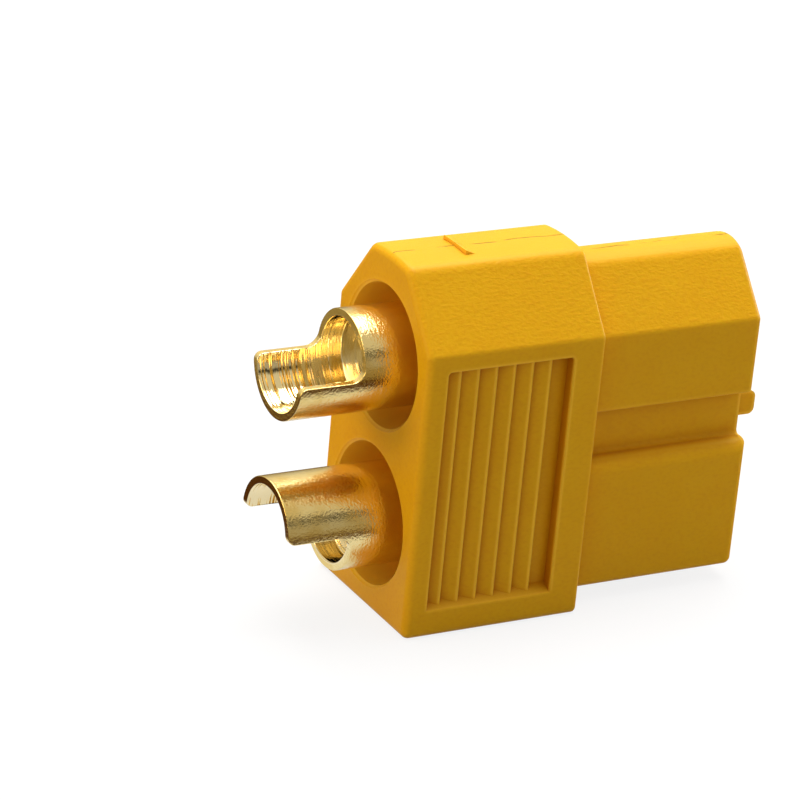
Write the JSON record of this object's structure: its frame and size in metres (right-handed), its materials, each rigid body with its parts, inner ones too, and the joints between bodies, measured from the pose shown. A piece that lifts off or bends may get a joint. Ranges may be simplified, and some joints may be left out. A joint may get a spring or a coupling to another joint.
{
  "type": "gold battery lead connector",
  "caption": "Socket half of a keyed battery lead connector: moulded housing with a stepped mating nose, turned socket contacts and open solder cups.",
  "frame": {"origin": "centre of the flat narrow end of the rear body, on which the connector stands", "axes": "+X out of the mating nose along the sockets, Y across the thickness, +Z from the flat narrow end to the chamfered narrow end"},
  "size_m": [0.0228, 0.0082, 0.0161],
  "materials": {
    "amber_nylon": "fine moulded grain, slightly translucent",
    "gold_plating": "bright gold plating over turned brass"
  },
  "bodies": {
    "root": {"housing": "amber_nylon", "negative_contact": "gold_plating", "positive_contact": "gold_plating"}
  },
  "joints": []
}
